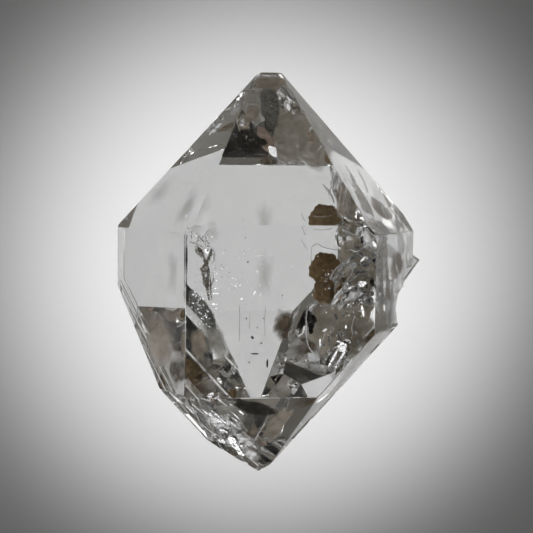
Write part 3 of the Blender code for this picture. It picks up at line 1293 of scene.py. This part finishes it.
def glints() -> Inclusion:
    """The plain white glints of the upper point."""
    flakes = (
        Flake((-0.52, 8.60, 12.4), (0.30, 0.50), 25.0, Gleam.TOP),
        Flake((0.95, 12.00, 9.7), (0.14, 0.28), 10.0, Gleam.TOP),
    )
    return Flakes("glints", SilverGap(), flakes)


def brown_films() -> Inclusion:
    """The brown-stained films of the right side and of the lower left."""
    finish = StainAndShade("brown_stain", (0.36, 0.28, 0.20), (0.16, 0.12, 0.08), 0.70, 0.6, 0.7)
    sheets = (
        Sheet((0.20, -3.90, 13.0), (0.75, 1.50), 31.0),
        Sheet((-5.95, -6.70, 15.0), (1.10, 1.20), 33.0, (0.0, -0.3, 1.0)),
        Sheet((0.90, -4.30, 3.5), (1.10, 1.70), 35.0),
        Sheet((-7.20, -6.75, 15.4), (1.10, 1.60), 34.0, Face.LEFT),
    )
    return Films("brown_films", finish, sheets)


def chain_films() -> Inclusion:
    """The ragged brown wedge and tail of the chain of small cracks on the left."""
    finish = StainAndShade("chain_stain", (0.50, 0.43, 0.34), (0.16, 0.13, 0.10), 0.95, 0.80, 0.10, 0.7)
    ribbons = (
        Ribbon(((-6.27, 2.15), (-6.00, 1.72), (-5.72, 1.28), (-5.50, 0.85)), 0.22, 36.0, 16.3, 5.0, 0.06),
        Ribbon(((-5.22, 2.05), (-5.28, 1.60), (-5.42, 1.20), (-5.50, 0.85)), 0.16, 38.0, 16.3, 5.0, 0.06),
        Ribbon(((-5.55, 1.00), (-5.74, 0.40), (-5.66, -0.20), (-5.45, -0.75)), 0.30, 37.0, 16.3, 5.0, 0.06),
        Ribbon(((-5.42, 0.80), (-5.48, 0.00), (-5.38, -0.70)), 0.14, 40.0, 16.4, 5.0, 0.06),
        Ribbon(((-5.52, -0.50), (-5.42, -1.00), (-5.34, -1.60)), 0.16, 39.0, 16.3, 5.0, 0.06),
    )
    return Films("chain_films", finish, ribbons)


def tan_films() -> Inclusion:
    """The tan stain of the lower left and the pale cap of the upper point."""
    finish = StainAndShade("tan_stain", (0.90, 0.81, 0.70), (0.66, 0.58, 0.48), 0.80, 0.30, 0.9, 0.5)
    sheets = (
        Sheet((-6.00, -4.90, 15.6), (0.85, 1.60), 63.0),
        Sheet((-0.45, 14.10, 8.65), (1.80, 1.30), 64.0, Face.TOP, bow_mm=0.0),
        Sheet((-1.90, 11.40, 9.65), (0.75, 1.40), 65.0, Face.TOP, -20.0),
    )
    return Films("tan_films", finish, sheets, 0.08)


def cream_films() -> Inclusion:
    """The soft cream stain deep under the lower left face."""
    finish = StainAndShade("cream_stain", (0.98, 0.91, 0.82), (0.74, 0.65, 0.55), 0.95, 0.30, 1.2, 1.0, 0.15)
    sheet = Sheet((-8.20, -5.10, 13.35), (3.00, 2.80), 61.0, Face.LEFT, rag=0.1, steps=36)
    return Films("cream_films", finish, (sheet,), 0.08)


def veils() -> Inclusion:
    """The pale veils that fill the lower point and dim the clear strip beside it."""
    finish = StainAndShade("pale_veil", (0.97, 0.96, 0.93), (0.76, 0.74, 0.70), 0.85, 0.50, 0.5, 0.7, 0.5)
    sheets = (
        Sheet((-3.88, -9.60, 14.9), (2.00, 1.60), 81.0, Face.LOW),
        Sheet((-3.10, -11.9, 13.0), (1.20, 2.00), 82.0, Face.LOW, 20.0),
        Sheet((-2.00, -13.4, 11.2), (1.20, 1.40), 83.0, Face.LOW),
        Sheet((-4.85, -4.50, 14.5), (0.85, 2.20), 84.0, turn_deg=22.0, rag=0.15),
        Sheet((-4.75, -4.60, 14.9), (0.75, 1.90), 85.0, turn_deg=22.0, rag=0.15),
    )
    return Films("veils", finish, sheets, 0.1)


def grey_films_and_painted_shade() -> Inclusion:
    """The grey film that darkens the wedge on the left, painted shade where the faces mirror the dark room,
    and the speckled grey column of the upper point.
    """
    finish = StainAndShade("grey_film_and_painted_shade", (0.60, 0.60, 0.56), (0.28, 0.285, 0.27), 0.95, 0.25, 0.25, 0.35)
    sheets = (
        # Painted shade: this grey film darkens the wedge on the left, where the faces mirror the dark room.
        Sheet((-5.82, -2.22, 16.6), (0.60, 1.85), 86.0, Face.FRONT, 34.0, 0.0, 0.05, rag=0.1),
        Sheet((-0.50, 11.90, 9.85), (0.95, 3.20), 79.0, Face.TOP, 4.0, 0.0, rag=0.3),
        Sheet((-1.10, 10.15, 11.0), (0.90, 1.10), 80.0, Face.TOP, 0.0, 0.0, rag=0.3),
    )
    return Films("grey_films_and_painted_shade", finish, sheets)


def haze_films() -> Inclusion:
    """The grey-brown healed cracks of the crowded right side."""
    finish = StainAndShade("grey_haze", (0.90, 0.845, 0.75), (0.66, 0.61, 0.52), 0.92, 0.25, 0.7, 0.25)
    sheets = (
        Sheet((5.60, 0.35, 13.0), (1.65, 3.30), 51.0, Face.FRONT, 4.0, 0.3, 0.3, steps=40),
        Sheet((4.20, -4.30, 13.0), (3.20, 2.80), 53.0, Face.FRONT, 0.0, 0.3, 0.3, steps=40),
        Sheet((5.90, -2.20, 13.1), (1.15, 1.60), 56.0, Face.FRONT, 0.0, 0.3, 0.3),
        Sheet((4.90, 4.00, 11.2), (1.00, 2.20), 52.0, (0.2, 0.4, 0.9), ripple_mm=0.3),
        Sheet((6.20, -6.40, 12.8), (3.20, 5.20), 54.0, Face.LOW_RIGHT, -42.0, 0.0, 0.1, rag=0.1),
        Sheet((-0.24, -10.6, 14.9), (0.80, 2.60), 57.0, Face.LOW, -18.0, 0.0),
    )
    return Films("haze_films", finish, sheets)


def top_haze() -> Inclusion:
    """The lighter haze that fills the right of the upper point."""
    finish = StainAndShade("top_haze", (0.97, 0.94, 0.87), (0.74, 0.69, 0.61), 0.94, 0.25, 0.6, 0.3)
    sheet = Sheet((1.60, 9.60, 11.05), (2.80, 3.80), 55.0, Face.TOP, rag=0.25, steps=40)
    return Films("top_haze", finish, (sheet,))


def dark_films_and_painted_shade() -> Inclusion:
    """Black ragged films of the right side and black columns of both points: partly dark matter, partly
    painted shade where the faces mirror the dark room.
    """
    finish = StainAndShade("dark_film_and_painted_shade", (0.070, 0.068, 0.062), (0.016, 0.015, 0.014), 0.92, 0.25, 0.3, 0.3)
    lean_right = (0.2, 0.0, 1.0)
    sheets = (
        Sheet((1.51, -3.27, 14.0), (0.52, 1.45), 71.0, turn_deg=-29.0, rag=0.5),
        Ribbon(((1.98, -2.76), (2.12, -3.40), (1.98, -4.30)), 0.28, 72.0, 14.0, 20.0),
        # Painted shade: black films where cracks of the right side mirror the dark room.
        Sheet((6.50, -0.66, 14.0), (0.35, 0.90), 73.0, lean_right, rag=0.8),
        Sheet((6.60, 1.20, 14.0), (0.25, 0.45), 74.0, lean_right, rag=0.8),
        Sheet((5.79, 2.50, 13.8), (0.45, 0.45), 75.0, rag=0.8),
        # Painted shade: a black film over the upper point where its faces mirror the dark room.
        Sheet((-2.15, 9.45, 11.55), (1.50, 1.60), 76.0, Face.TOP, 0.0, 0.0, rag=0.3),
        Sheet((-1.97, -9.13, 16.1), (2.00, 0.80), 77.0, Face.LOW, -20.0, 0.0, 0.05, rag=0.2),
        Sheet((-5.25, -3.15, 14.5), (0.40, 1.10), 79.0, Face.FRONT, 22.0, 0.0, 0.05, rag=0.2),
        # Painted shade: a dark line just inside the left edge of the front face.
        Ribbon(((-6.92, 3.00), (-6.92, 1.50), (-6.92, -0.75)), 0.06, 78.0, 17.0, 10.0, 0.02, across=4),
    )
    return Films("dark_films_and_painted_shade", finish, sheets)


def smudges() -> Inclusion:
    """The soft pale-brown smudges near the rear face and under the left faces."""
    finish = StainAndShade("pale_smudge", (0.50, 0.42, 0.33), (0.40, 0.33, 0.25), 0.18, 0.2, 2.0, 1.0)
    sheets = (
        Sheet((-0.40, -0.60, 1.0), (0.90, 2.40), 41.0, rag=0.2),
        Sheet((-6.10, 3.80, 13.1), (1.40, 1.60), 42.0, Face.TOP_LEFT, rag=0.2),
        Sheet((-8.20, 5.30, 9.0), (1.60, 1.80), 43.0, Face.TOP_LEFT, rag=0.2),
        Sheet((-5.16, 3.00, 16.3), (0.60, 0.80), 44.0, rag=0.2),
    )
    return Films("smudges", finish, sheets)


def frost_films() -> Inclusion:
    """The bright frosty films of the lower point and of the right side."""
    finish = Frost("frost", (0.86, 0.86, 0.87), (0.34, 0.34, 0.35), 0.50, 0.65, 0.35, 0.8)
    sheets = (
        Sheet((-3.20, -11.70, 13.7), (1.50, 2.60), 91.0, Gleam.LOW, 50.0, 0.1, 0.05),
        Sheet((-2.00, -13.30, 12.4), (0.90, 1.50), 92.0, Gleam.LOW, 50.0, 0.1, 0.05),
        Sheet((-4.30, -10.30, 14.6), (1.20, 2.00), 93.0, Gleam.LOW, 50.0, 0.1, 0.05),
        Sheet((4.83, -1.50, 14.6), (0.60, 1.40), 94.0, Gleam.FRONT, -54.0, 0.1, 0.05),
        Sheet((6.00, 2.60, 14.6), (0.60, 1.20), 96.0, Gleam.FRONT, 20.0, 0.1, 0.05),
        Sheet((6.90, 0.00, 15.0), (0.55, 3.00), 97.0, Gleam.RIGHT, 0.0, 0.0, 0.05),
    )
    return Films("frost_films", finish, sheets, 0.08)


def main() -> None:
    """Builds the studio, the crystal and what lies inside it."""
    logging.basicConfig(level=logging.INFO, format="%(name)s: %(message)s")
    noise.seed_set(NOISE_SEED)
    Camera().build()
    Studio().build()
    skin = Crystal().build()
    kinds = (
        clay, dark_specks, ochre_bits, pale_threads, bright_flakes, glints,
        brown_films, chain_films, tan_films, cream_films, veils, grey_films_and_painted_shade,
        haze_films, top_haze, dark_films_and_painted_shade, smudges, frost_films,
    )
    for kind in kinds:
        kind().build(skin)


if __name__ == "__main__":
    main()
